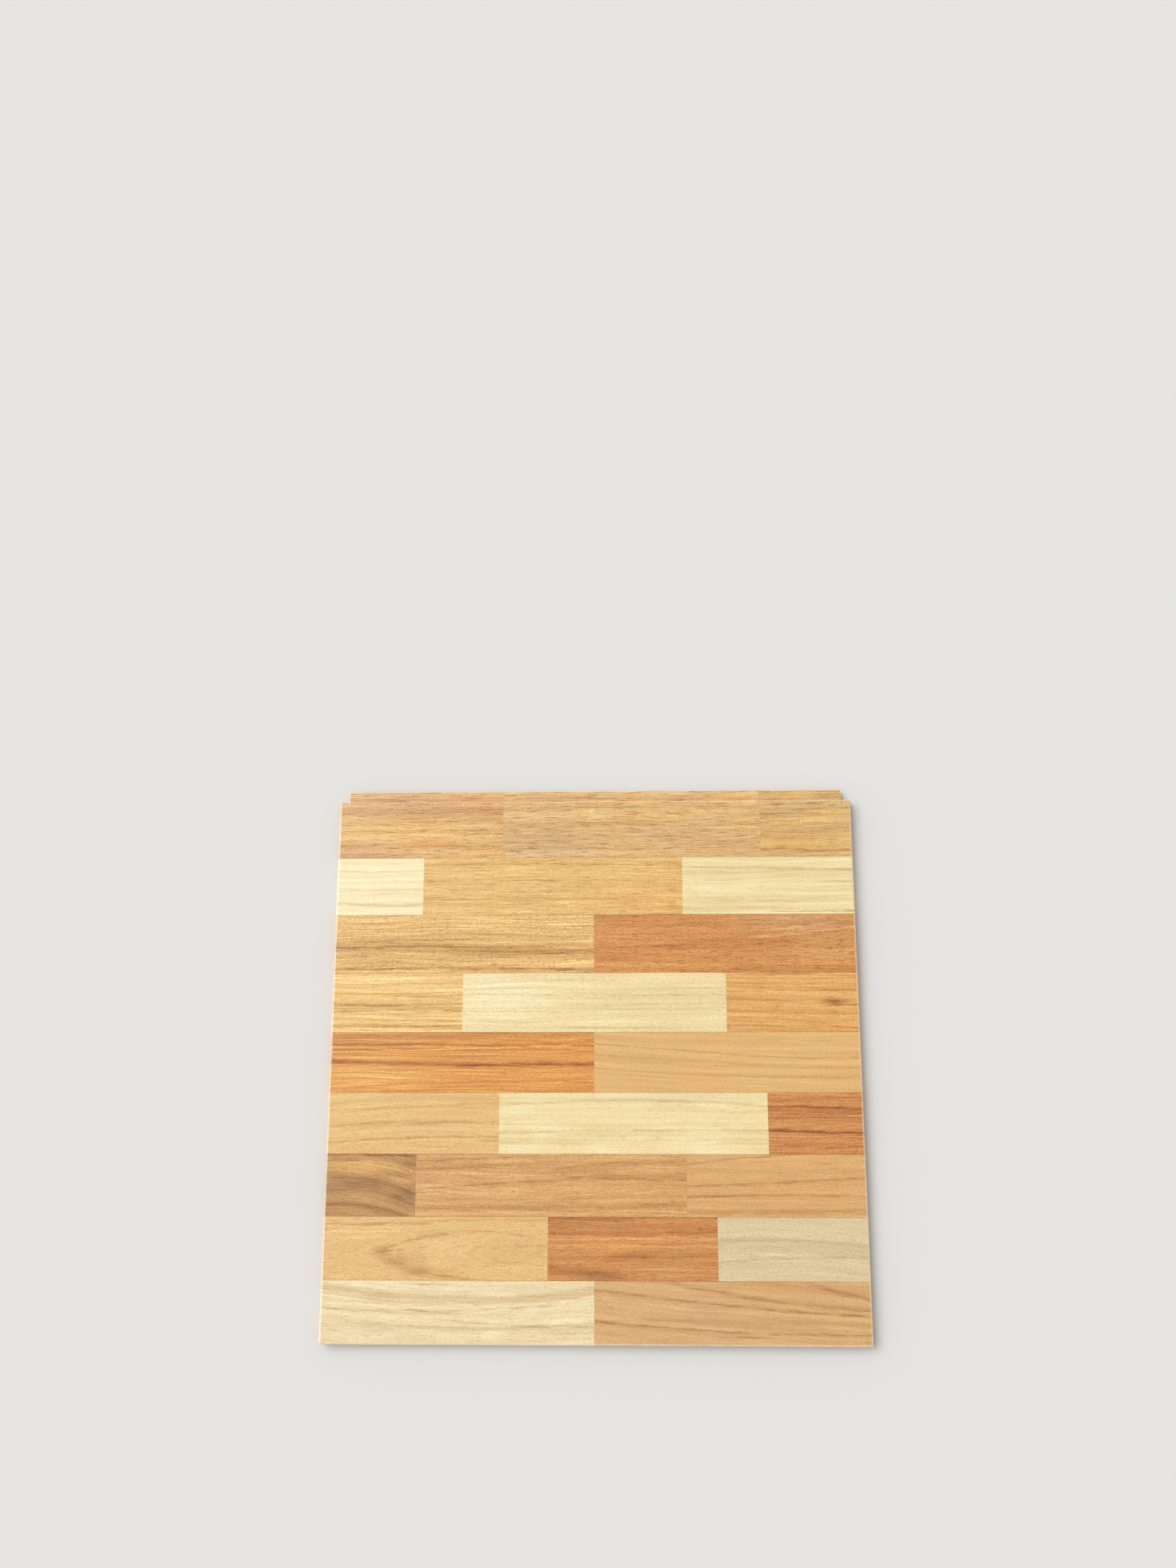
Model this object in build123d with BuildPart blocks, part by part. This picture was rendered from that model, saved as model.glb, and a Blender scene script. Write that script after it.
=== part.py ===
from build123d import *
import os

# A square floor panel of solid wood. Nine rows of strips are glued edge to edge and end to end,
# and the blank is then machined: a tongue along one edge, the groove for the next panel's tongue
# along the opposite edge, and eased edges round the face that is walked on.
# +X runs along the strips, +Y points to the tongue and +Z is up out of the face.
# The origin is the middle of the underside, with the tongue left out. All sizes are millimetres.

# Panel
PANEL_LENGTH = 600.0
PANEL_WIDTH = 600.0
PANEL_THICKNESS = 15.0
EDGE_RADIUS = 3.0
SHOULDER_RADIUS = 0.8

# Tongue: it lies below the face, and its ends stop short of the panel's sides
TONGUE_PROJECTION = 13.5
TONGUE_THICKNESS = 5.0
TONGUE_DROP = 5.0
TONGUE_INSET = 10.5
TONGUE_CORNER_RADIUS = 2.0
TONGUE_NOSE_RADIUS = 1.0

# Groove: room over, under and in front of the next panel's tongue. The lip below the groove is
# set back, so that two panels close at the face first.
FIT_CLEARANCE = 0.15
GROOVE_ROOM = 0.5
LIP_SETBACK = 0.5

# Strips: full ones, and the cut ones that start some of the rows at the left side
STRIP_LENGTH = 300.0
LONG_START = 193.5
SHORT_START = 102.0
HALF_START = 150.0
MIXED_START = 249.0
MIXED_SECOND = 186.0

# The cut strips at the start of each row, from the row with the tongue to the row with the groove
ROW_STARTS = [
    [LONG_START],
    [SHORT_START],
    [],
    [HALF_START],
    [],
    [LONG_START],
    [SHORT_START],
    [MIXED_START, MIXED_SECOND],
    [],
]

# Sizes that follow
half_length = PANEL_LENGTH / 2
half_width = PANEL_WIDTH / 2
strip_width = PANEL_WIDTH / len(ROW_STARTS)
tongue_length = PANEL_LENGTH - 2 * TONGUE_INSET
tongue_bottom = PANEL_THICKNESS - TONGUE_DROP - TONGUE_THICKNESS
groove_bottom = tongue_bottom - FIT_CLEARANCE
groove_height = TONGUE_THICKNESS + 2 * FIT_CLEARANCE
groove_depth = TONGUE_PROJECTION + GROOVE_ROOM


def strip_ends(start_strips):
    """Where the strips of a row end: the cut ones, then full ones, the last trimmed to the panel."""
    ends = [0.0]
    for length in start_strips:
        ends.append(ends[-1] + length)
    while round(PANEL_LENGTH - ends[-1] - STRIP_LENGTH, 3) > 0:
        ends.append(ends[-1] + STRIP_LENGTH)
    return ends + [PANEL_LENGTH]


os.makedirs("parts", exist_ok=True)

# The machined blank, before it is divided into its strips
with BuildPart() as panel:
    with BuildSketch(Plane.YZ) as section:
        Rectangle(PANEL_WIDTH, PANEL_THICKNESS, align=(Align.CENTER, Align.MIN))
        with Locations((-half_width, groove_bottom)):
            Rectangle(groove_depth, groove_height, align=Align.MIN, mode=Mode.SUBTRACT)
        with Locations((-half_width, 0)):
            Rectangle(LIP_SETBACK, groove_bottom, align=Align.MIN, mode=Mode.SUBTRACT)
    extrude(amount=half_length, both=True)

    # Tongue, with rounded corners in plan and a rounded nose
    with BuildSketch(Plane.XY.offset(tongue_bottom)) as tongue:
        with Locations((0, half_width)):
            Rectangle(tongue_length, TONGUE_PROJECTION, align=(Align.CENTER, Align.MIN))
        fillet(tongue.vertices().group_by(Axis.Y)[-1], TONGUE_CORNER_RADIUS)
    extrude(amount=TONGUE_THICKNESS)
    tongue_span = (half_width, half_width + TONGUE_PROJECTION)
    tongue_edges = panel.edges().filter_by_position(Axis.Y, *tongue_span, inclusive=(False, True))
    tongue_rims = tongue_edges.group_by(Axis.Z)
    fillet(tongue_rims[0] + tongue_rims[-1], TONGUE_NOSE_RADIUS)

    # Eased edges of the face: the shoulder above the tongue is only broken
    face_edges = panel.faces().sort_by(Axis.Z)[-1].edges().sort_by(Axis.Y)
    fillet(face_edges[:-1], EDGE_RADIUS)
    shoulder = panel.faces().sort_by(Axis.Z)[-1].edges().sort_by(Axis.Y)[-1]
    fillet(shoulder, SHOULDER_RADIUS)

# The strips, row by row from the tongue and from left to right
for row, start_strips in enumerate(ROW_STARTS, start=1):
    row_front = half_width - row * strip_width
    row_depth = strip_width + (TONGUE_PROJECTION if row == 1 else 0)
    ends = strip_ends(start_strips)
    for number, (left, right) in enumerate(zip(ends, ends[1:]), start=1):
        name = f"row{row}_strip{number}"
        with BuildPart() as strip:
            add(panel.part)
            with Locations((left - half_length, row_front, 0)):
                Box(right - left, row_depth, PANEL_THICKNESS, align=Align.MIN, mode=Mode.INTERSECT)
        strip.part.label = name
        export_step(strip.part, f"parts/{name}.step")
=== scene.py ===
import math
from dataclasses import dataclass, field

import bpy
from mathutils import Matrix, Vector


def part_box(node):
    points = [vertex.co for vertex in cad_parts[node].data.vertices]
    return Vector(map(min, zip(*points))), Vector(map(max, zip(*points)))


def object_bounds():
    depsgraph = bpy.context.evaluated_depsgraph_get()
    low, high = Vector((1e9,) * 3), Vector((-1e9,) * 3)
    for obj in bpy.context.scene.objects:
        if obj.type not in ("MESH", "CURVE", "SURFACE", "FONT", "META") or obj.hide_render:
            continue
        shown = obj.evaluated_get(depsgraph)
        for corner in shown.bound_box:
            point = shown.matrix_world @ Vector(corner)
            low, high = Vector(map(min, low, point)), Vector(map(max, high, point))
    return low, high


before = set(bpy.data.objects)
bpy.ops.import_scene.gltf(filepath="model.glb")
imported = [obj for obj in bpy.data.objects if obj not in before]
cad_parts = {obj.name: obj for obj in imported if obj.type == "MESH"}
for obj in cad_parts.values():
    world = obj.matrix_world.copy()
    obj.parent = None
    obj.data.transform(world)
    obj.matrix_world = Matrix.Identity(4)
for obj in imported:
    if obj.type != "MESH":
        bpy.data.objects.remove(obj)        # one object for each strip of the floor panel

cad_low, cad_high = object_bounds()


def rgb(red, green, blue):
    """A colour given as 0 to 255, by the sRGB curve, as the linear values that a shader takes."""
    def linear(level):
        level /= 255
        return level / 12.92 if level <= 0.04045 else ((level + 0.055) / 1.055) ** 2.4
    return (linear(red), linear(green), linear(blue), 1.0)


# Sizes, in metres unless the name says otherwise
MM = 0.001
ROWS = 9
FACE_HEIGHT = cad_high.z
HALF_SIDE = cad_high.x
STRIP_WIDTH = 2 * HALF_SIDE / ROWS
STRIP_WIDTH_MM = STRIP_WIDTH / MM

# Camera: the place over the face that the photograph was taken from
PHOTO_HEIGHT_PX = 2180
FOCAL_LENGTH_PX = 1881
SENSOR_MM = 36
CAMERA_SPOT = Vector((0.0391, -0.0272, FACE_HEIGHT + 1.5544))
CAMERA_TARGET = Vector((-0.0069, 0.3210, FACE_HEIGHT))
PICTURE_UP = Vector((0, 1, 0))

# Stage
FLOOR_SIDE = 30.0
FLOOR_COLOUR = rgb(222, 221, 218)
FLOOR_ROUGHNESS = 0.9
BACKDROP_COLOUR = rgb(230, 229, 226)
WORLD_COLOUR = (1.0, 1.0, 1.0, 1.0)
WORLD_STRENGTH = 0.51

# Lights: name, the side that each comes from, strength, and width in degrees
LIGHTS = (
    ("key", (-2.0, 1.3, 3.2), 1.6, 40),
    ("left", (-3.6, 1.0, 1.6), 0.85, 100),
    ("back", (1.0, 3.6, 1.6), 0.25, 80),
)

# Tone: how much red, green and blue each fall as wood darkens by one step. Dark wood is browner.
TONE_STEP = (2.9, 5.1, 11.5)

# Noise: its middle value, and how far apart the strips lie in it
NOISE_MIDDLE = 0.5
SEED_STEP_MM = 731.0

# Grain: how it wanders, and the sizes of its marks. A pair is a length and a width.
WANDER_LENGTH_MM = 140
WANDER_WIDTH_MM = 40
WAVE_GAIN = 4
RING_LENGTH_MM = 400
RING_DETAIL = 2.0
LINE_DETAIL = 2.0
LINE_ROUGHNESS = 0.6
PORE_WIDTH_MM = 1.1
CELL_MM = (3.0, 1.0)
WARM_AREA_MM = (70, 16)

# The pith of a strip whose look names none: heights for even and odd seeds, and a few depths
PITH_HEIGHTS = (-1.4, 2.2)
PITH_DEPTH_MM = 35
PITH_DEPTH_STEP_MM = 7
PITH_DEPTHS = 4

# The noise at which a mark begins to show, and at which it shows in full
WARM_SHOWS = (-0.08, 0.16)
PORE_SHOWS = (0.05, 0.17)
STREAK_SHOWS = (-0.16, 0.14)

# Patches: where their edge ends and begins, as a share of their size, and how far they follow the grain
PATCH_EDGE = (1.35, 0.15)
PATCH_WAVE = 0.02

# Streaks: their soft edge as a share of their half width, the share of the strip over which they fade,
# and how lines, fibres and the wandering grain make them ragged
STREAK_EDGE = 1.7
STREAK_FADE = 0.07
STREAK_GAP_MM = (26, 3.0)
STREAK_LINES = 0.05
STREAK_FIBRE_MM = (18, 2.5)
STREAK_FIBRES = 0.06
STREAK_WAVE = 0.5

# Glue joints between strips: thin lines that are a little darker, and weaker at the strips' ends
JOINT_END_MM = 0.7
JOINT_SIDE_MM = 0.9
JOINT_END_SHARE = 0.25
JOINT_TONE = -0.22

# Lacquer: how far up a surface has to face to have it, and how far below the face it ends and begins
LACQUER_SLOPE = (0.05, 0.30)
LACQUER_DEPTH_MM = (-5.8, -5.2)
COAT_WEIGHT = 0.5
COAT_ROUGHNESS = 0.16

# Wood under the lacquer, and bare wood
ROUGHNESS = 0.40
CELL_ROUGHNESS = 0.3
BARE_ROUGHNESS = 0.25
BARE_COLOUR = rgb(216, 182, 142)
BARE_SHARE = 0.30

# Painted highlight on the rounded edges: the slopes between which an edge is rounded, and how pale it
# is painted
HIGHLIGHT_FLAT_SLOPE = (0.998, 0.96)
HIGHLIGHT_STEEP_SLOPE = (0.15, 0.45)
EDGE_HIGHLIGHT_COLOUR = rgb(250, 238, 218)
EDGE_HIGHLIGHT_SHARE = 0.5
EDGE_HIGHLIGHT_CELLS = 0.9

# End grain: how far a surface has to face along the strips to show it
END_GRAIN_SLOPE = (0.80, 0.98)
END_GRAIN_TONE = -0.25

# Relief of the grain
PORE_RELIEF = -0.3
LINE_RELIEF = 0.5
BUMP_STRENGTH = 0.3
BUMP_DISTANCE = 0.3 * MM

# A Mix node's colour sockets, which share their names with its number sockets
MIX_FIRST_COLOUR = 6
MIX_SECOND_COLOUR = 7
MIX_COLOUR_OUT = 2


@dataclass
class Streak:
    """A dark streak along a strip: its height at the strip's left end, middle and right end.

    Heights run from 0 at the side of the strip that faces the tongue to 1 at the other side.
    A streak of negative depth is paler than the wood beside it. A broken one comes and goes.
    """
    left: float
    middle: float
    right: float
    half_width_mm: float
    depth: float
    start: float = -1.0
    end: float = 2.0
    broken: float = 0.5


@dataclass
class Patch:
    """A soft area of another colour, at a share of the strip's length and height."""
    along: float
    height: float
    half_length_mm: float
    half_width_mm: float
    colour: tuple
    strength: float


@dataclass
class Pith:
    """Where the middle of the tree was: its height, its depth, and how it nears the face."""
    height: float
    depth_mm: float
    taper: float = 0.0
    along: float = 0.5


@dataclass
class Look:
    """How one strip's wood looks.

    Warmth is the share of the warm colour in its areas. Rings, lines, cells and pores say how strongly
    those marks show. Flow bends the grain at the strip's left end, middle and right end.
    """
    base: tuple
    seed: int
    warm: tuple = None
    warmth: float = 0.0
    rings: float = 0.5
    ring_spacing_mm: float = 6.0
    lines: float = 0.6
    line_width_mm: float = 1.5
    line_length_mm: float = 80.0
    cells: float = 0.4
    pores: float = 0.2
    pore_length_mm: float = 12.0
    wave_mm: float = 2.5
    flow: tuple = (0.0, 0.0, 0.0)
    pith: Pith = None
    streaks: list = field(default_factory=list)
    patches: list = field(default_factory=list)


def usual_pith(seed):
    """The pith of a strip whose look names none: beside the strip and below it."""
    return Pith(PITH_HEIGHTS[seed % 2], PITH_DEPTH_MM + PITH_DEPTH_STEP_MM * (seed % PITH_DEPTHS))


class Graph:
    """Short calls that add nodes to a node tree and hand back their outputs."""

    def __init__(self, tree):
        self.tree = tree

    def node(self, kind, **settings):
        made = self.tree.nodes.new(kind)
        for key, value in settings.items():
            setattr(made, key, value)
        return made

    def feed(self, socket, value):
        """Link the socket to another node's output, or set it to a plain value."""
        if isinstance(value, bpy.types.NodeSocket):
            self.tree.links.new(value, socket)
        else:
            socket.default_value = value

    def math(self, operation, *values):
        made = self.node("ShaderNodeMath", operation=operation)
        for socket, value in zip(made.inputs, values):
            self.feed(socket, value)
        return made.outputs[0]

    def add(self, first, second):
        return self.math("ADD", first, second)

    def take(self, first, second):
        return self.math("SUBTRACT", first, second)

    def times(self, first, second):
        return self.math("MULTIPLY", first, second)

    def times_add(self, first, second, third):
        """The product of the first two, plus the third."""
        return self.math("MULTIPLY_ADD", first, second, third)

    def over(self, first, second):
        return self.math("DIVIDE", first, second)

    def length(self, first, second):
        """The length of the slope of a right triangle."""
        return self.math("SQRT", self.times_add(first, first, self.times(second, second)))

    def combine(self, x, y, z):
        made = self.node("ShaderNodeCombineXYZ")
        for socket, value in zip(made.inputs, (x, y, z)):
            self.feed(socket, value)
        return made.outputs[0]

    def separate(self, vector):
        made = self.node("ShaderNodeSeparateXYZ")
        self.feed(made.inputs[0], vector)
        return made.outputs

    def noise(self, x, y, z, detail=1.0, roughness=0.5):
        """Noise about zero, mostly within a quarter of it, with blobs about one unit across."""
        made = self.node("ShaderNodeTexNoise")
        self.feed(made.inputs["Vector"], self.combine(x, y, z))
        made.inputs["Scale"].default_value = 1.0
        made.inputs["Detail"].default_value = detail
        made.inputs["Roughness"].default_value = roughness
        return self.take(made.outputs["Fac"], NOISE_MIDDLE)

    def ease(self, value, low, high):
        """0 at low, 1 at high, with a smooth step between; low may be the larger one."""
        made = self.node("ShaderNodeMapRange", interpolation_type="SMOOTHSTEP")
        self.feed(made.inputs["Value"], value)
        turned = low > high
        made.inputs["From Min"].default_value = min(low, high)
        made.inputs["From Max"].default_value = max(low, high)
        made.inputs["To Min"].default_value = 1.0 if turned else 0.0
        made.inputs["To Max"].default_value = 0.0 if turned else 1.0
        return made.outputs["Result"]

    def mix(self, factor, first, second, blend="MIX"):
        made = self.node("ShaderNodeMix", data_type="RGBA", blend_type=blend)
        self.feed(made.inputs["Factor"], factor)
        self.feed(made.inputs[MIX_FIRST_COLOUR], first)
        self.feed(made.inputs[MIX_SECOND_COLOUR], second)
        return made.outputs[MIX_COLOUR_OUT]

    def path(self, share, left, middle, right):
        """The parabola through the values at the strip's left end, middle and right end."""
        slope = 4 * middle - 3 * left - right
        curve = 2 * left - 4 * middle + 2 * right
        return self.times_add(share, self.times_add(share, curve, slope), left)


class Strip:
    """One strip's material: solid wood with its grain along X, and its finish."""

    def __init__(self, name, look):
        self.look = look
        self.material = bpy.data.materials.new("wood_" + name)
        self.material.use_nodes = True
        self.graph = Graph(self.material.node_tree)
        self.shader = self.material.node_tree.nodes["Principled BSDF"]
        self.low, self.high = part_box(name)
        self.back = self.low.y + STRIP_WIDTH
        self.length_mm = (self.high.x - self.low.x) / MM
        self.find_place()
        self.grow_grain()
        colour = self.tint(look.base)
        colour = self.darken(colour, self.tone())
        self.finish(colour)

    def find_place(self):
        """The place in the strip, in millimetres, and as shares of its length and width.

        Depth is zero on the face and negative below it.
        """
        graph = self.graph
        place = graph.node("ShaderNodeTexCoord").outputs["Object"]
        self.x, self.y, level = (graph.over(axis, MM) for axis in graph.separate(place))
        self.share = graph.over(graph.take(self.x, self.low.x / MM), self.length_mm)
        self.height = graph.over(graph.take(self.back / MM, self.y), STRIP_WIDTH_MM)
        self.along = graph.add(self.x, SEED_STEP_MM * self.look.seed)
        self.depth = graph.take(level, FACE_HEIGHT / MM)

    def grow_grain(self):
        """Grain that waves and bends, in growth rings about the pith."""
        graph, look = self.graph, self.look
        wander = graph.noise(
            graph.over(self.along, WANDER_LENGTH_MM),
            graph.over(self.y, WANDER_WIDTH_MM),
            look.seed,
        )
        self.wave = graph.times(wander, WAVE_GAIN * look.wave_mm)
        bend = graph.times(graph.path(self.share, *look.flow), STRIP_WIDTH_MM)
        self.across = graph.add(graph.add(self.y, self.wave), bend)
        self.radius = self.pith_distance(look.pith or usual_pith(look.seed))
        self.line = graph.noise(
            graph.over(self.along, look.line_length_mm),
            graph.over(self.radius, look.line_width_mm),
            look.seed,
            LINE_DETAIL,
            LINE_ROUGHNESS,
        )
        self.pore = self.fibres(look.pore_length_mm, PORE_WIDTH_MM)
        self.cell = self.fibres(*CELL_MM)

    def pith_distance(self, pith):
        """How far each place is from the middle of the tree."""
        graph = self.graph
        middle_flow = self.look.flow[1] * STRIP_WIDTH_MM
        pith_across = self.back / MM - pith.height * STRIP_WIDTH_MM + middle_flow
        pith_depth = graph.add(self.depth, pith.depth_mm)
        if pith.taper:
            run = graph.times(graph.take(self.share, pith.along), self.length_mm)
            pith_depth = graph.take(pith_depth, graph.times(run, pith.taper))
        return graph.length(graph.take(self.across, pith_across), pith_depth)

    def fibres(self, length_mm, width_mm):
        """Noise drawn out along the grain."""
        graph = self.graph
        return graph.noise(
            graph.over(self.along, length_mm),
            graph.over(self.across, width_mm),
            graph.over(self.depth, width_mm),
        )

    def tint(self, colour):
        """Areas of warmer wood, and the patches of another colour that the look names."""
        graph, look = self.graph, self.look
        if look.warm:
            warm_area = graph.ease(self.fibres(*WARM_AREA_MM), *WARM_SHOWS)
            colour = graph.mix(graph.times(warm_area, look.warmth), colour, look.warm)
        for patch in look.patches:
            run = graph.take(self.share, patch.along)
            run = graph.times(run, self.length_mm / patch.half_length_mm)
            rise = graph.add(self.height, graph.times(self.wave, PATCH_WAVE))
            rise = graph.take(rise, patch.height)
            rise = graph.times(rise, STRIP_WIDTH_MM / patch.half_width_mm)
            area = graph.ease(graph.length(run, rise), *PATCH_EDGE)
            colour = graph.mix(graph.times(area, patch.strength), colour, patch.colour)
        return colour

    def tone(self):
        """How much paler, above zero, or darker, below zero, each place is than the base colour."""
        graph, look = self.graph, self.look
        ring = graph.noise(
            graph.over(self.along, RING_LENGTH_MM),
            graph.over(self.radius, look.ring_spacing_mm),
            look.seed,
            RING_DETAIL,
        )
        tone = graph.times(ring, look.rings)
        tone = graph.times_add(self.line, look.lines, tone)
        tone = graph.times_add(self.cell, look.cells, tone)
        self.pore_mark = graph.ease(self.pore, *PORE_SHOWS)
        tone = graph.times_add(self.pore_mark, -look.pores, tone)
        if look.streaks:
            tone = graph.take(tone, self.streak_depth())
        return tone

    def streak_depth(self):
        """The depth of all the strip's streaks together."""
        graph = self.graph
        height = graph.times_add(self.line, STREAK_LINES, self.height)
        height = graph.times_add(self.fibres(*STREAK_FIBRE_MM), STREAK_FIBRES, height)
        height = graph.times_add(self.wave, STREAK_WAVE / STRIP_WIDTH_MM, height)
        coming = graph.ease(self.fibres(*STREAK_GAP_MM), *STREAK_SHOWS)
        total = 0.0
        for streak in self.look.streaks:
            kept = graph.times_add(coming, streak.broken, 1 - streak.broken)
            total = graph.times_add(self.one_streak(streak, height), kept, total)
        return total

    def one_streak(self, streak, height):
        """The depth of one streak, before its gaps."""
        graph = self.graph
        centre = graph.path(self.share, streak.left, streak.middle, streak.right)
        distance = graph.times(graph.take(height, centre), STRIP_WIDTH_MM)
        distance = graph.math("ABSOLUTE", distance)
        near = graph.ease(distance, STREAK_EDGE * streak.half_width_mm, 0.0)
        depth = graph.times(near, streak.depth)
        if streak.start > 0:
            after = graph.ease(self.share, streak.start - STREAK_FADE, streak.start + STREAK_FADE)
            depth = graph.times(depth, after)
        if streak.end < 1:
            before = graph.ease(self.share, streak.end + STREAK_FADE, streak.end - STREAK_FADE)
            depth = graph.times(depth, before)
        return depth

    def darken(self, colour, tone):
        """The colour at a tone: lower tones are browner, higher ones paler."""
        graph = self.graph
        steps = [graph.math("POWER", step, tone) for step in TONE_STEP]
        return graph.mix(1.0, colour, graph.combine(*steps), "MULTIPLY")

    def joint(self):
        """Above 0 on a thin line along each side and end that is glued to a neighbour, else 0."""
        graph = self.graph
        ends = []
        sides = []
        if self.low.x > cad_low.x + MM:
            ends.append(graph.take(self.x, self.low.x / MM))
        if self.high.x < cad_high.x - MM:
            ends.append(graph.take(self.high.x / MM, self.x))
        if self.low.y > cad_low.y + MM:
            sides.append(graph.take(self.y, self.low.y / MM))
        if self.back < HALF_SIDE - MM:
            sides.append(graph.take(self.back / MM, self.y))
        line = 0.0
        for distance in ends:
            line = graph.times_add(graph.ease(distance, JOINT_END_MM, 0.0), JOINT_END_SHARE, line)
        for distance in sides:
            line = graph.add(graph.ease(distance, JOINT_SIDE_MM, 0.0), line)
        return line

    def finish(self, colour):
        """Satin lacquer on the face and the tongue's top; bare wood on the sides and the underside."""
        graph, shader = self.graph, self.shader
        normal = graph.separate(graph.node("ShaderNodeNewGeometry").outputs["Normal"])
        upward = graph.ease(normal[2], *LACQUER_SLOPE)
        lacquer = graph.times(upward, graph.ease(self.depth, *LACQUER_DEPTH_MM))
        bare = graph.take(1.0, lacquer)
        colour = self.darken(colour, graph.times(self.joint(), JOINT_TONE))
        colour = graph.mix(graph.times(bare, BARE_SHARE), colour, BARE_COLOUR)
        graph.feed(shader.inputs["Base Color"], self.paint_edge_highlight_and_end_grain(colour, normal))
        rough = graph.times_add(self.cell, CELL_ROUGHNESS, ROUGHNESS)
        graph.feed(shader.inputs["Roughness"], graph.times_add(bare, BARE_ROUGHNESS, rough))
        graph.feed(shader.inputs["Coat Weight"], graph.times(lacquer, COAT_WEIGHT))
        shader.inputs["Coat Roughness"].default_value = COAT_ROUGHNESS
        graph.feed(shader.inputs["Normal"], self.relief())

    def paint_edge_highlight_and_end_grain(self, colour, normal):
        """A painted highlight that makes the rounded edges paler, and the end grain darker."""
        graph = self.graph
        rounded = graph.ease(normal[2], *HIGHLIGHT_FLAT_SLOPE)
        rounded = graph.times(rounded, graph.ease(normal[2], *HIGHLIGHT_STEEP_SLOPE))
        # Painted highlight: the rounded edges are mixed towards a pale cream, as if they caught the
        # light
        painted_highlight = graph.times(rounded, graph.times_add(self.cell, EDGE_HIGHLIGHT_CELLS, EDGE_HIGHLIGHT_SHARE))
        colour = graph.mix(painted_highlight, colour, EDGE_HIGHLIGHT_COLOUR)
        end_grain = graph.ease(graph.math("ABSOLUTE", normal[0]), *END_GRAIN_SLOPE)
        return self.darken(colour, graph.times(end_grain, END_GRAIN_TONE))

    def relief(self):
        """The bump of the pores, cells and lines."""
        graph = self.graph
        height = graph.times_add(self.pore_mark, PORE_RELIEF, self.cell)
        height = graph.times_add(self.line, LINE_RELIEF, height)
        bump = graph.node("ShaderNodeBump")
        bump.inputs["Strength"].default_value = BUMP_STRENGTH
        bump.inputs["Distance"].default_value = BUMP_DISTANCE
        graph.feed(bump.inputs["Height"], height)
        return bump.outputs["Normal"]


# Colours that tint parts of the strips
CREAM = rgb(246, 229, 182)
SAND = rgb(224, 202, 156)
GOLD = rgb(236, 190, 110)
ORANGE = rgb(226, 162, 84)
TAN = rgb(226, 180, 116)
RED_BROWN = rgb(212, 138, 70)
PINK_BROWN = rgb(206, 154, 102)
GREY_TAN = rgb(208, 170, 122)
BROWN = rgb(172, 116, 62)
DARK_BROWN = rgb(132, 84, 42)
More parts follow.
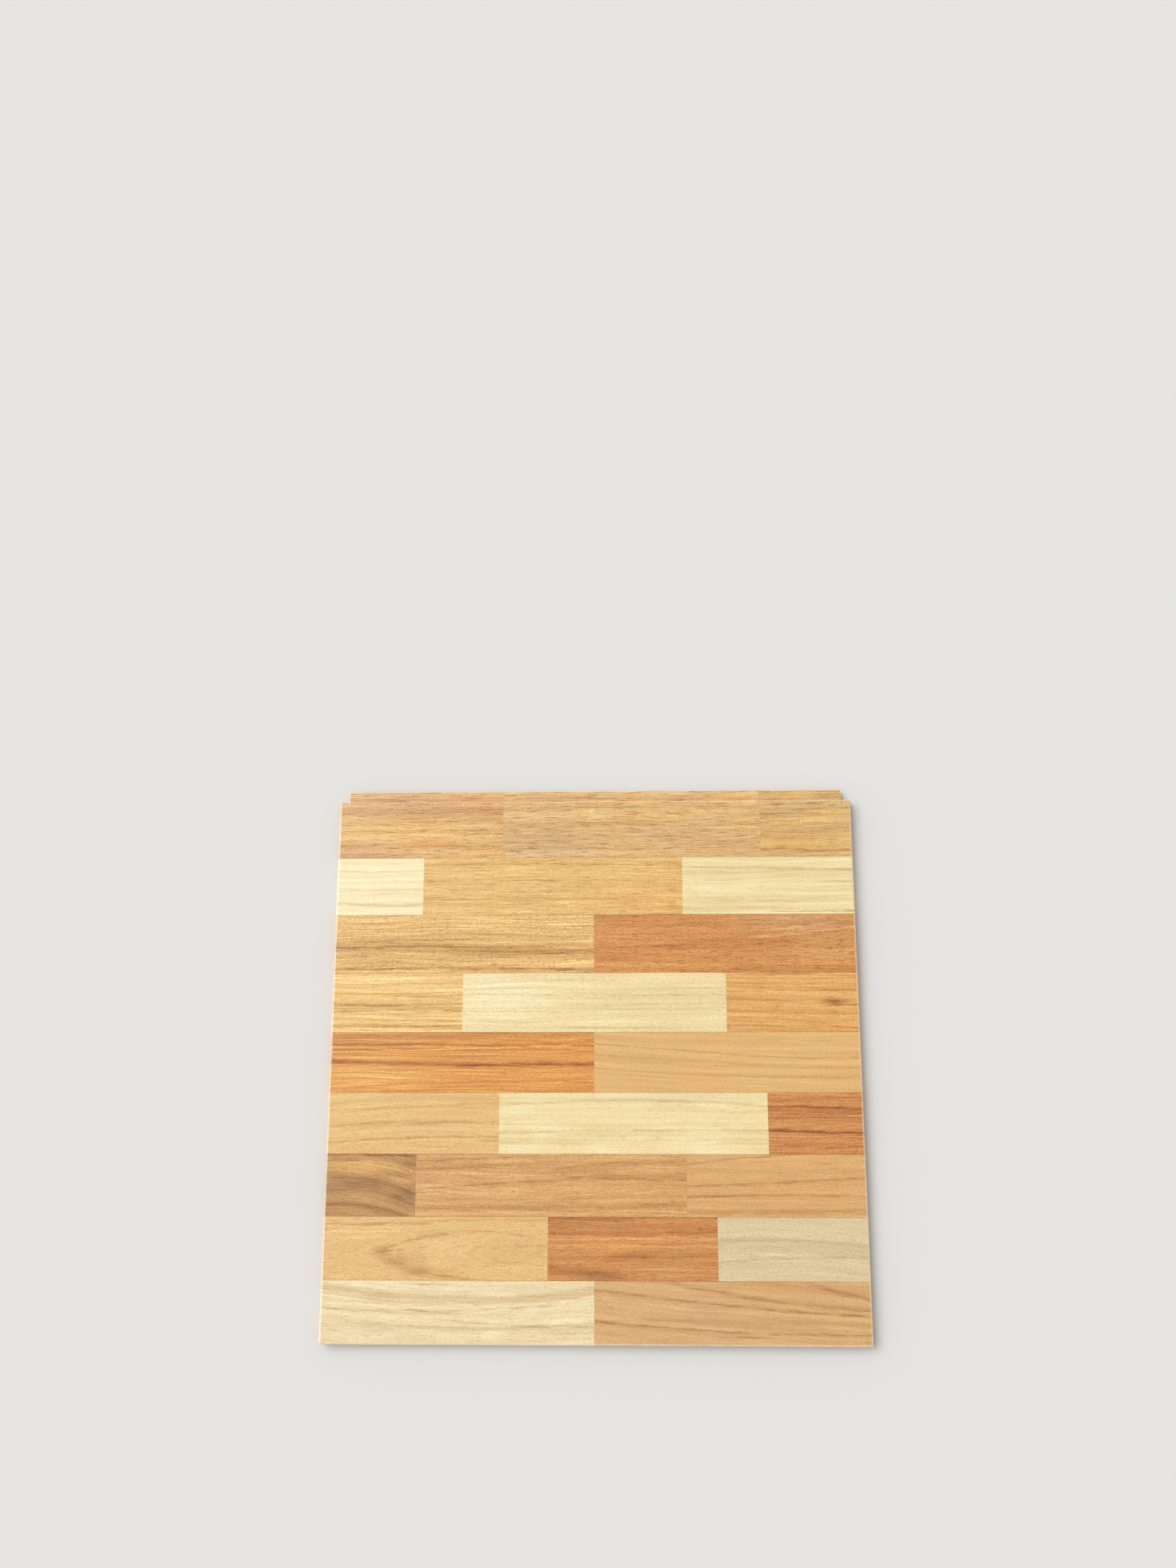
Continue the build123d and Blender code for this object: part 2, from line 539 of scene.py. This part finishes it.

# The strips' looks: base colour, seed, warm colour and warmth come first. The base colours also hold
# painted light: the strips on the left are a little paler and those on the right a little darker, as
# light fell across the panel from the left.
LOOKS = {
    "row1_strip1": Look(
        rgb(222, 178, 112), 1, ORANGE, 0.4, cells=0.55, lines=0.5, pores=0.34, pore_length_mm=18,
        streaks=[
            Streak(0.42, 0.36, 0.30, 1.0, 0.28, broken=0.9),
            Streak(0.52, 0.50, 0.50, 1.0, 0.42, broken=0.9),
            Streak(0.60, 0.58, 0.56, 1.0, 0.40, start=0.74),
            Streak(0.80, 0.80, 0.78, 0.9, 0.28, start=0.3, broken=0.9),
        ],
        patches=[
            Patch(0.45, 0.05, 160, 20, PINK_BROWN, 0.75),
            Patch(0.10, 0.95, 70, 14, PINK_BROWN, 0.85),
            Patch(0.45, 0.52, 110, 15, GOLD, 0.65),
            Patch(0.52, 0.72, 36, 9, ORANGE, 0.55),
            Patch(0.90, 0.86, 26, 8, ORANGE, 0.50),
            Patch(0.92, 0.12, 30, 12, rgb(206, 148, 84), 0.55),
        ],
    ),
    "row1_strip2": Look(
        rgb(222, 179, 116), 2, GREY_TAN, 0.4, cells=0.5, lines=0.65, line_length_mm=45,
        pores=0.36, pore_length_mm=20,
        patches=[
            Patch(0.12, 0.78, 70, 20, GREY_TAN, 0.60),
            Patch(0.80, 0.72, 70, 14, PINK_BROWN, 0.45),
            Patch(0.60, 0.25, 80, 14, GOLD, 0.30),
        ],
    ),
    "row1_strip3": Look(
        rgb(211, 172, 112), 3, GOLD, 0.5, cells=0.5, lines=0.45, pores=0.28, pore_length_mm=20,
        streaks=[
            Streak(0.09, 0.06, 0.05, 0.9, 0.34, end=0.7),
            Streak(0.25, 0.24, 0.26, 1.0, 0.42, end=0.65),
            Streak(0.39, 0.36, 0.33, 0.9, 0.36, end=0.45),
            Streak(0.86, 0.88, 0.89, 0.9, 0.38),
        ],
        patches=[Patch(0.30, 0.65, 60, 18, ORANGE, 0.35)],
    ),
    "row2_strip1": Look(
        CREAM, 4, cells=0.22, lines=0.20, line_length_mm=110,
        rings=0.24, ring_spacing_mm=4, pores=0.05,
        streaks=[
            Streak(0.23, 0.25, 0.23, 1.3, 0.20),
            Streak(0.56, 0.55, 0.54, 2.6, 0.10),
            Streak(0.79, 0.82, 0.81, 1.7, 0.24, broken=0.4),
            Streak(0.10, 0.11, 0.12, 1.6, 0.10),
        ],
    ),
    "row2_strip2": Look(
        rgb(228, 184, 111), 5, GOLD, 0.4, cells=0.46, lines=0.75, line_length_mm=60,
        pores=0.20, pore_length_mm=14, rings=0.3,
        streaks=[
            Streak(0.13, 0.12, 0.13, 0.9, 0.28, broken=0.8),
            Streak(0.41, 0.40, 0.41, 0.9, 0.24, broken=0.8),
            Streak(0.56, 0.58, 0.56, 1.0, 0.22, end=0.6, broken=0.9),
            Streak(0.70, 0.72, 0.75, 3.0, 0.14, broken=0.9),
        ],
        patches=[Patch(0.85, 0.70, 70, 20, ORANGE, 0.25)],
    ),
    "row2_strip3": Look(
        rgb(235, 215, 159), 6, CREAM, 0.4, cells=0.25, lines=0.30, line_length_mm=120,
        rings=0.32, ring_spacing_mm=4, pores=0.06,
        streaks=[
            Streak(0.18, 0.20, 0.23, 1.6, 0.20),
            Streak(0.24, 0.25, 0.26, 4.0, 0.08),
            Streak(0.42, 0.42, 0.43, 1.1, 0.20, start=0.80),
            Streak(0.42, 0.42, 0.42, 1.2, 0.16, start=0.15, end=0.35),
            Streak(0.75, 0.76, 0.75, 2.2, 0.14),
            Streak(0.88, 0.86, 0.86, 4.0, 0.12, end=0.6),
            Streak(0.95, 0.95, 0.95, 1.0, 0.38, start=0.52, broken=0.3),
        ],
    ),
    "row3_strip1": Look(
        rgb(225, 181, 111), 7, GOLD, 0.4, cells=0.70, lines=1.25, line_width_mm=1.4,
        line_length_mm=110, pores=0.24, pore_length_mm=8,
        streaks=[
            Streak(0.52, 0.54, 0.62, 7.0, 0.26, broken=0.4),
            Streak(0.44, 0.42, 0.40, 1.0, 0.30, start=0.08, end=0.55),
            Streak(0.55, 0.55, 0.58, 1.1, 0.46, end=0.55, broken=0.5),
            Streak(0.66, 0.64, 0.66, 1.4, 0.38, start=0.55, broken=0.7),
            Streak(0.70, 0.72, 0.70, 3.0, 0.16, end=0.35, broken=0.8),
            Streak(0.94, 0.93, 0.95, 1.4, 0.52, broken=0.7),
        ],
        patches=[Patch(0.62, 0.88, 3.0, 2.2, BROWN, 0.60)],
    ),
    "row3_strip2": Look(
        rgb(206, 140, 71), 8, RED_BROWN, 0.5, cells=0.70, lines=0.60, line_length_mm=50,
        pores=0.32, pore_length_mm=13,
        streaks=[
            Streak(0.56, 0.54, 0.50, 3.0, 0.20, start=0.22, end=0.45, broken=0.7),
            Streak(0.50, 0.46, 0.46, 2.6, 0.16, start=0.45, end=0.80, broken=0.4),
            Streak(0.62, 0.45, 0.20, 1.2, -0.20, start=0.62, broken=0.4),
            Streak(0.40, 0.34, 0.06, 1.2, -0.16, start=0.68, broken=0.4),
        ],
        patches=[
            Patch(0.78, 0.12, 90, 18, PINK_BROWN, 0.65),
            Patch(0.90, 0.60, 60, 20, rgb(216, 164, 98), 0.45),
            Patch(0.20, 0.85, 90, 18, rgb(220, 150, 78), 0.50),
        ],
    ),
    "row4_strip1": Look(
        rgb(236, 196, 123), 9, GOLD, 0.5, cells=0.48, lines=0.90, line_length_mm=90, pores=0.16,
        streaks=[
            Streak(0.57, 0.57, 0.54, 7.0, 0.18, broken=0.4),
            Streak(0.41, 0.41, 0.38, 0.9, 0.28, start=0.25, broken=0.8),
            Streak(0.52, 0.55, 0.53, 1.0, 0.38, broken=0.8),
            Streak(0.66, 0.65, 0.65, 1.2, 0.34, broken=0.8),
            Streak(0.90, 0.91, 0.92, 2.0, 0.36, broken=0.7),
            Streak(0.82, 0.82, 0.82, 0.9, 0.30, start=0.75),
        ],
    ),
    "row4_strip2": Look(
        rgb(237, 215, 159), 10, CREAM, 0.4, cells=0.30, lines=0.28, line_length_mm=110,
        rings=0.28, ring_spacing_mm=4, pores=0.10, pore_length_mm=7,
        streaks=[
            Streak(0.08, 0.08, 0.08, 3.0, 0.08, start=0.2, end=0.5),
            Streak(0.36, 0.37, 0.38, 1.4, 0.14, broken=0.8),
            Streak(0.50, 0.55, 0.52, 6.0, 0.08, start=0.4),
            Streak(0.66, 0.66, 0.68, 1.0, 0.14, end=0.5),
            Streak(0.83, 0.84, 0.84, 1.0, 0.16, start=0.08, end=0.25),
            Streak(0.93, 0.93, 0.92, 1.2, 0.14, start=0.4, end=0.8),
        ],
        patches=[
            Patch(0.12, 0.40, 70, 32, CREAM, 0.75),
            Patch(0.80, 0.50, 90, 30, SAND, 0.40),
        ],
    ),
    "row4_strip3": Look(
        rgb(222, 168, 96), 11, ORANGE, 0.5, cells=0.55, lines=0.65, pores=0.16, pore_length_mm=20,
        streaks=[
            Streak(0.04, 0.03, 0.06, 1.0, 0.32, broken=0.7),
            Streak(0.30, 0.31, 0.28, 0.9, 0.34, broken=0.8),
            Streak(0.42, 0.49, 0.55, 0.9, 0.26, end=0.5),
            Streak(0.56, 0.55, 0.55, 0.9, 0.60, start=0.78, broken=0.2),
            Streak(0.49, 0.49, 0.50, 3.4, 0.22, start=0.70, end=0.94, broken=0.3),
            Streak(0.88, 0.90, 0.94, 1.1, 0.34, broken=0.7),
        ],
        patches=[
            Patch(0.82, 0.49, 16, 3.6, BROWN, 0.55),
            Patch(0.82, 0.50, 6, 2.2, DARK_BROWN, 0.55),
        ],
    ),
    "row5_strip1": Look(
        rgb(226, 158, 74), 12, ORANGE, 0.4, cells=0.58, lines=1.15, line_length_mm=110, pores=0.12,
        streaks=[
            Streak(0.10, 0.10, 0.12, 6.0, 0.24, broken=0.4),
            Streak(0.21, 0.22, 0.22, 1.4, 0.46, broken=0.3),
            Streak(0.29, 0.29, 0.31, 1.4, 0.30, broken=0.6),
            Streak(0.48, 0.53, 0.53, 2.3, 0.52, broken=0.35),
            Streak(0.54, 0.545, 0.55, 2.4, 0.40, start=0.48, end=0.60, broken=0.4),
            Streak(0.54, 0.545, 0.55, 2.4, 0.30, start=0.75, broken=0.5),
            Streak(0.47, 0.51, 0.52, 2.6, 0.40, end=0.08, broken=0.4),
            Streak(0.93, 0.84, 0.84, 0.9, 0.28, start=0.1, broken=0.7),
            Streak(0.98, 0.98, 0.97, 0.9, 0.26, end=0.5),
        ],
        patches=[
            Patch(0.95, 0.75, 100, 34, rgb(214, 140, 64), 0.50),
            Patch(0.15, 0.70, 60, 12, GOLD, 0.40),
            Patch(0.15, 0.12, 80, 9, rgb(206, 150, 82), 0.40),
        ],
    ),
    "row5_strip2": Look(
        rgb(221, 176, 111), 13, rgb(228, 172, 102), 0.5, cells=0.32, lines=0.26,
        line_length_mm=60, rings=0.30, pores=0.04, flow=(-0.14, 0.0, 0.04),
        streaks=[
            Streak(0.20, 0.37, 0.44, 1.0, 0.22, broken=0.5),
            Streak(0.38, 0.52, 0.58, 2.0, 0.12),
            Streak(0.60, 0.72, 0.74, 1.2, 0.14),
            Streak(0.12, 0.13, 0.13, 0.9, 0.24, start=0.64, end=0.68, broken=0.0),
            Streak(0.15, 0.15, 0.15, 0.9, 0.22, start=0.82, end=0.86, broken=0.0),
        ],
    ),
    "row6_strip1": Look(
        rgb(228, 187, 122), 14, TAN, 0.5, cells=0.40, lines=0.28, line_length_mm=50,
        rings=0.30, pores=0.10, flow=(0.10, 0.0, 0.0),
        streaks=[
            Streak(0.56, 0.47, 0.50, 2.2, 0.22, broken=0.5),
            Streak(0.82, 0.73, 0.73, 1.1, 0.26, broken=0.5),
            Streak(0.80, 0.80, 0.80, 0.9, 0.30, start=0.90, broken=0.2),
            Streak(0.30, 0.22, 0.18, 1.2, 0.14),
        ],
        patches=[
            Patch(0.48, 0.73, 4, 1.4, BROWN, 0.60),
            Patch(0.60, 0.48, 44, 4, rgb(206, 160, 104), 0.50),
            Patch(0.90, 0.20, 50, 16, rgb(222, 170, 104), 0.40),
        ],
    ),
    "row6_strip2": Look(
        rgb(236, 213, 157), 15, CREAM, 0.5, cells=0.26, lines=0.20, line_length_mm=110,
        rings=0.30, ring_spacing_mm=4, pores=0.08, pore_length_mm=8,
        streaks=[
            Streak(0.18, 0.16, 0.16, 1.6, 0.24, end=0.25),
            Streak(0.22, 0.12, 0.24, 1.3, 0.15, start=0.3),
            Streak(0.66, 0.61, 0.62, 1.1, 0.16, broken=0.3),
            Streak(0.78, 0.76, 0.80, 4.0, 0.09, broken=0.6),
        ],
        patches=[
            Patch(0.47, 0.72, 4, 1.3, SAND, 0.60),
            Patch(0.60, 0.12, 90, 8, SAND, 0.50),
        ],
    ),
    "row6_strip3": Look(
        rgb(203, 136, 73), 16, RED_BROWN, 0.3, cells=0.65, lines=0.95, line_length_mm=60, pores=0.16,
        streaks=[
            Streak(0.23, 0.24, 0.27, 1.3, 0.62, broken=0.3),
            Streak(0.29, 0.31, 0.32, 2.6, 0.32, broken=0.4),
            Streak(0.41, 0.40, 0.40, 0.9, 0.30, broken=0.4),
            Streak(0.60, 0.64, 0.65, 1.4, 0.70, broken=0.3),
            Streak(0.85, 0.85, 0.85, 2.0, 0.22, broken=0.7),
        ],
    ),
    "row7_strip1": Look(
        rgb(194, 144, 84), 17, rgb(178, 130, 78), 0.4, cells=0.60, lines=0.65, pores=0.20,
        flow=(0.25, 0.29, 0.50),
        streaks=[
            Streak(0.02, 0.02, 0.03, 1.2, 0.45, broken=0.3),
            Streak(0.12, 0.10, 0.08, 2.0, 0.34, end=0.40, broken=0.5),
            Streak(0.42, 0.42, 0.66, 1.8, 0.34, start=0.12, broken=0.4),
            Streak(0.54, 0.52, 0.80, 4.0, 0.14, start=0.20),
            Streak(0.82, 0.84, 1.05, 1.2, 0.34, broken=0.4),
            Streak(0.20, 0.18, 0.16, 5.0, 0.24, start=0.85, broken=0.3),
        ],
        patches=[
            Patch(0.34, 0.22, 56, 8, rgb(224, 174, 100), 0.85),
            Patch(0.85, 0.42, 22, 4, rgb(214, 168, 108), 0.70),
            Patch(0.45, 0.47, 34, 5, rgb(126, 90, 52), 0.50),
            Patch(0.88, 0.70, 18, 11, rgb(140, 102, 60), 0.45),
            Patch(0.10, 0.52, 24, 12, rgb(150, 112, 68), 0.40),
        ],
    ),
    "row7_strip2": Look(
        rgb(215, 165, 103), 18, rgb(204, 148, 90), 0.45, cells=0.48, lines=0.55, line_length_mm=40,
        pores=0.16, pore_length_mm=8, wave_mm=4.0,
        streaks=[
            Streak(0.56, 0.44, 0.40, 1.3, 0.34, end=0.50, broken=0.7),
            Streak(0.62, 0.50, 0.46, 1.0, 0.26, end=0.35, broken=0.7),
            Streak(0.24, 0.16, 0.10, 2.4, 0.18, broken=0.5),
            Streak(0.46, 0.34, 0.34, 6.0, 0.14, start=0.50, broken=0.4),
            Streak(0.36, 0.38, 0.40, 0.9, 0.28, start=0.55, broken=0.7),
            Streak(0.90, 0.84, 0.78, 3.0, 0.18, broken=0.5),
            Streak(0.10, 0.02, -0.1, 1.0, 0.30, end=0.4),
        ],
    ),
    "row7_strip3": Look(
        rgb(215, 167, 107), 19, rgb(222, 164, 98), 0.4, cells=0.40, lines=0.32,
        line_length_mm=40, rings=0.30, pores=0.08,
        streaks=[
            Streak(0.50, 0.46, 0.37, 1.4, 0.28, broken=0.6),
            Streak(0.67, 0.66, 0.68, 1.6, 0.24, broken=0.6),
            Streak(0.66, 0.66, 0.66, 1.2, 0.20, end=0.25, broken=0.3),
            Streak(0.93, 0.92, 0.90, 2.4, 0.20, broken=0.6),
            Streak(0.16, 0.02, -0.1, 1.2, 0.22, broken=0.5),
            Streak(0.14, 0.14, 0.14, 1.0, 0.26, start=0.74, end=0.80, broken=0.0),
        ],
        patches=[Patch(0.50, 0.90, 60, 8, PINK_BROWN, 0.40)],
    ),
    "row8_strip1": Look(
        rgb(228, 187, 124), 20, TAN, 0.4, cells=0.40, lines=0.22, line_length_mm=40,
        rings=0.06, pores=0.14, pith=Pith(0.58, 31, 0.12, 0.2),
        streaks=[
            Streak(0.69, 0.45, 0.21, 0.8, 0.30, start=0.24, end=0.33, broken=0.2),
            Streak(1.00, 0.30, 0.39, 1.5, 0.24, start=0.26, end=0.92, broken=0.9),
            Streak(0.17, 0.19, 0.17, 1.0, -0.14, end=0.40, broken=0.6),
            Streak(0.25, 0.24, 0.22, 1.1, -0.14, end=0.34, broken=0.6),
            Streak(0.35, 0.31, 0.27, 1.0, -0.12, end=0.28, broken=0.6),
            Streak(0.45, 0.47, 0.46, 1.2, 0.12, start=0.62, broken=0.9),
            Streak(0.80, 0.81, 0.80, 1.2, -0.12, start=0.76, broken=0.4),
            Streak(0.25, 0.88, 1.00, 5.0, 0.15, start=0.24, end=0.60, broken=0.6),
            Streak(0.30, 0.90, 1.00, 0.9, 0.24, start=0.45, broken=0.5),
            Streak(0.14, 0.12, 0.10, 1.2, 0.22, end=0.45),
            Streak(0.20, 0.08, 0.05, 1.6, 0.14),
            Streak(0.72, 0.72, 0.73, 1.2, 0.18, start=0.76, end=0.88, broken=0.5),
        ],
        patches=[
            Patch(0.56, 0.45, 34, 14, rgb(232, 194, 134), 0.60),
            Patch(0.27, 0.54, 13, 6, rgb(200, 148, 90), 0.60),
            Patch(0.34, 0.68, 18, 7, rgb(200, 148, 90), 0.60),
            Patch(0.42, 0.83, 18, 6, rgb(192, 140, 82), 0.65),
            Patch(0.44, 0.66, 12, 8, rgb(210, 164, 106), 0.40),
            Patch(0.50, 0.30, 22, 4, rgb(206, 158, 102), 0.40),
            Patch(0.86, 0.55, 40, 14, rgb(214, 172, 112), 0.40),
        ],
    ),
    "row8_strip2": Look(
        rgb(200, 136, 74), 21, RED_BROWN, 0.4, cells=0.55, lines=0.55, line_length_mm=50,
        pores=0.24, pore_length_mm=10,
        streaks=[
            Streak(0.04, 0.05, 0.02, 3.0, 0.24, end=0.5, broken=0.6),
            Streak(0.26, 0.26, 0.22, 2.4, 0.22, broken=0.5),
            Streak(0.72, 0.62, 0.56, 4.0, 0.24, start=0.35, end=0.62, broken=0.4),
            Streak(0.82, 0.92, 1.05, 5.0, 0.26, end=0.42, broken=0.5),
            Streak(0.36, 0.34, 0.36, 1.0, -0.20, broken=0.4),
            Streak(0.47, 0.46, 0.48, 1.6, -0.14, broken=0.4),
        ],
        patches=[
            Patch(0.35, 0.42, 70, 14, rgb(216, 146, 78), 0.55),
            Patch(0.30, 0.94, 26, 6, rgb(166, 112, 62), 0.60),
            Patch(0.75, 0.86, 50, 9, rgb(212, 148, 86), 0.50),
            Patch(0.08, 0.04, 30, 6, rgb(176, 116, 64), 0.50),
        ],
    ),
    "row8_strip3": Look(
        rgb(218, 197, 154), 22, SAND, 0.4, cells=0.38, lines=0.18, line_length_mm=50,
        rings=0.25, pores=0.10, flow=(0.04, 0.0, 0.10),
        streaks=[
            Streak(0.36, 0.36, 0.46, 2.4, 0.14, broken=0.2),
            Streak(0.46, 0.46, 0.56, 4.5, 0.08, broken=0.2),
            Streak(0.72, 0.63, 0.62, 1.4, 0.16, broken=0.4),
            Streak(0.60, 0.595, 0.59, 1.0, -0.12, start=0.3, end=0.7, broken=0.2),
        ],
    ),
    "row9_strip1": Look(
        rgb(237, 216, 171), 23, SAND, 0.35, cells=0.32, lines=0.28, line_width_mm=2.0,
        line_length_mm=40, rings=0.32, pores=0.10, flow=(0.0, 0.12, 0.04),
        streaks=[
            Streak(0.10, 0.28, 0.14, 3.4, 0.22, broken=0.3),
            Streak(0.20, 0.35, 0.20, 1.4, 0.16),
            Streak(0.40, 0.46, 0.30, 1.1, 0.28, start=0.30, end=0.85, broken=0.9),
            Streak(0.44, 0.50, 0.52, 1.0, 0.20, end=0.5, broken=0.9),
            Streak(0.70, 0.70, 0.70, 1.4, 0.24, start=0.75, broken=0.6),
            Streak(0.03, 0.06, 0.08, 1.2, 0.26, start=0.30, end=0.50, broken=0.6),
            Streak(0.10, 0.62, 0.64, 1.0, 0.18, start=0.45, end=0.70, broken=0.5),
            Streak(0.72, 0.74, 0.76, 5.0, 0.10, broken=0.6),
        ],
    ),
    "row9_strip2": Look(
        rgb(211, 167, 112), 24, TAN, 0.4, cells=0.36, lines=0.26, line_length_mm=50,
        rings=0.40, pores=0.08, flow=(-0.22, -0.04, 0.10),
        streaks=[
            Streak(0.14, 0.38, 0.54, 1.4, 0.36, broken=0.8),
            Streak(-0.24, 0.20, 0.44, 2.6, 0.28, start=0.28, broken=0.6),
            Streak(0.62, 0.77, 0.82, 1.3, 0.32, broken=0.8),
            Streak(0.86, 0.85, 0.86, 0.9, 0.28, start=0.48, end=0.62, broken=0.3),
            Streak(-1.20, -0.32, 0.28, 2.2, 0.32, start=0.8, broken=0.5),
            Streak(0.60, 0.62, 0.66, 1.6, 0.12, broken=0.6),
        ],
        patches=[Patch(0.70, 0.12, 100, 14, rgb(206, 152, 92), 0.40)],
    ),
}


def dress_strips():
    """Give each strip of the panel its own wood."""
    for name, look in LOOKS.items():
        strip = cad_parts[name]
        strip.data.materials.clear()
        strip.data.materials.append(Strip(name, look).material)


def floor_material():
    """Dull paint of one colour."""
    material = bpy.data.materials.new("floor_paint")
    material.use_nodes = True
    shader = material.node_tree.nodes["Principled BSDF"]
    shader.inputs["Base Color"].default_value = FLOOR_COLOUR
    shader.inputs["Roughness"].default_value = FLOOR_ROUGHNESS
    return material


def add_floor():
    """The plain pale floor that the panel lies on."""
    half = FLOOR_SIDE / 2
    corners = [(-half, -half, 0), (half, -half, 0), (half, half, 0), (-half, half, 0)]
    mesh = bpy.data.meshes.new("floor")
    mesh.from_pydata(corners, [], [(0, 1, 2, 3)])
    floor = bpy.data.objects.new("floor", mesh)
    mesh.materials.append(floor_material())
    bpy.context.scene.collection.objects.link(floor)


def add_light(name, source, strength, width_degrees):
    """A wide, even light that comes from the direction of a source."""
    lamp = bpy.data.lights.new(name, "SUN")
    lamp.energy = strength
    lamp.angle = math.radians(width_degrees)
    light = bpy.data.objects.new(name, lamp)
    light.location = source
    light.rotation_euler = Vector(source).to_track_quat("Z", "Y").to_euler()
    bpy.context.scene.collection.objects.link(light)


def add_world():
    """Even light from all round, behind which the camera sees a pale backdrop."""
    world = bpy.data.worlds.new("studio")
    world.use_nodes = True
    graph = Graph(world.node_tree)
    light = world.node_tree.nodes["Background"]
    light.inputs["Color"].default_value = WORLD_COLOUR
    light.inputs["Strength"].default_value = WORLD_STRENGTH
    backdrop = graph.node("ShaderNodeBackground")
    backdrop.inputs["Color"].default_value = BACKDROP_COLOUR
    choice = graph.node("ShaderNodeMixShader")
    seen_by_camera, first, second = choice.inputs
    graph.feed(seen_by_camera, graph.node("ShaderNodeLightPath").outputs["Is Camera Ray"])
    graph.feed(first, light.outputs[0])
    graph.feed(second, backdrop.outputs[0])
    graph.feed(world.node_tree.nodes["World Output"].inputs["Surface"], choice.outputs[0])
    bpy.context.scene.world = world


def add_camera():
    """The camera over the panel, with the tongue at the top of the picture."""
    camera_data = bpy.data.cameras.new("camera")
    camera_data.sensor_width = SENSOR_MM
    camera_data.lens = FOCAL_LENGTH_PX / PHOTO_HEIGHT_PX * SENSOR_MM
    camera = bpy.data.objects.new("camera", camera_data)
    forward = (CAMERA_TARGET - CAMERA_SPOT).normalized()
    right = forward.cross(PICTURE_UP).normalized()
    turn = Matrix((right, right.cross(forward), -forward)).transposed()
    camera.matrix_world = Matrix.Translation(CAMERA_SPOT) @ turn.to_4x4()
    bpy.context.scene.collection.objects.link(camera)
    bpy.context.scene.camera = camera


dress_strips()
add_floor()
add_world()
for light_values in LIGHTS:
    add_light(*light_values)
add_camera()
bpy.context.scene.view_settings.view_transform = "Standard"
